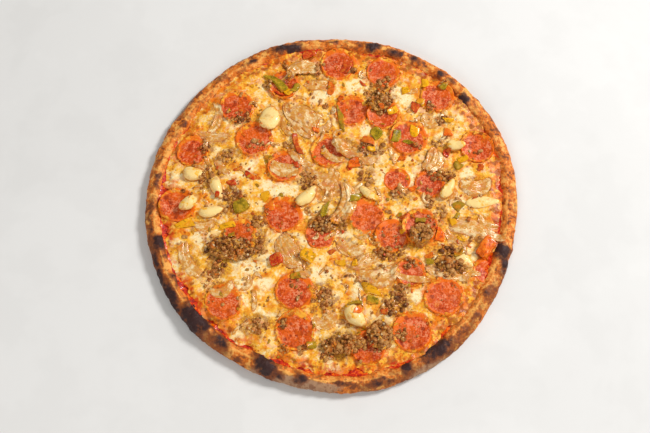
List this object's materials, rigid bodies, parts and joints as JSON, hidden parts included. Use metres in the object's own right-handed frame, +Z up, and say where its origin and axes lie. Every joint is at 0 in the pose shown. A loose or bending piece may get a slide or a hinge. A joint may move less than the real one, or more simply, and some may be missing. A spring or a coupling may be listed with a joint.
{
  "type": "pepperoni and sausage pizza",
  "caption": "Whole uncut round pizza with a charred rim, pepperoni, crumbled sausage, onion, garlic and diced peppers.",
  "frame": {"origin": "on the surface that the pizza lies on, below the middle of its outline", "axes": "+Z up out of the topped side; +X and +Y lie in the underside, with +Y away from the viewer of the picture"},
  "size_m": [0.3734, 0.3746, 0.0245],
  "materials": {
    "crust": "baked dough, golden brown with charred blisters",
    "sauce": "wet tomato sauce",
    "cheese": "melted cheese with orange oil",
    "pepperoni": "oily cured sausage",
    "garlic": "roasted garlic",
    "onion": "soft translucent onion",
    "sausage": "browned minced meat",
    "pepper_green": "cooked sweet pepper",
    "pepper_orange": "cooked sweet pepper",
    "pepper_red": "cooked sweet pepper",
    "pepper_yellow": "cooked sweet pepper"
  },
  "bodies": {
    "root": {"cheese": "cheese", "crust": "crust", "garlic_01": "garlic", "garlic_02": "garlic", "garlic_03": "garlic", "garlic_04": "garlic", "garlic_05": "garlic", "garlic_06": "garlic", "garlic_07": "garlic", "garlic_08": "garlic", "garlic_09": "garlic", "garlic_10": "garlic", "onion_01": "onion", "onion_02": "onion", "onion_03": "onion", "onion_04": "onion", "onion_05": "onion", "onion_06": "onion", "onion_07": "onion", "onion_08": "onion", "onion_09": "onion", "pepper_green": "pepper_green", "pepper_orange": "pepper_orange", "pepper_red": "pepper_red", "pepper_yellow": "pepper_yellow", "pepperoni_01": "pepperoni", "pepperoni_02": "pepperoni", "pepperoni_03": "pepperoni", "pepperoni_04": "pepperoni", "pepperoni_05": "pepperoni", "pepperoni_06": "pepperoni", "pepperoni_07": "pepperoni", "pepperoni_08": "pepperoni", "pepperoni_09": "pepperoni", "pepperoni_10": "pepperoni", "pepperoni_11": "pepperoni", "pepperoni_12": "pepperoni", "pepperoni_13": "pepperoni", "pepperoni_14": "pepperoni", "pepperoni_15": "pepperoni", "pepperoni_16": "pepperoni", "pepperoni_17": "pepperoni", "pepperoni_18": "pepperoni", "pepperoni_19": "pepperoni", "pepperoni_20": "pepperoni", "pepperoni_21": "pepperoni", "pepperoni_22": "pepperoni", "pepperoni_23": "pepperoni", "pepperoni_24": "pepperoni", "pepperoni_25": "pepperoni", "pepperoni_26": "pepperoni", "pepperoni_27": "pepperoni", "sauce": "sauce", "sausage_01": "sausage", "sausage_02": "sausage", "sausage_03": "sausage", "sausage_04": "sausage", "sausage_05": "sausage", "sausage_06": "sausage", "sausage_07": "sausage"}
  },
  "joints": []
}
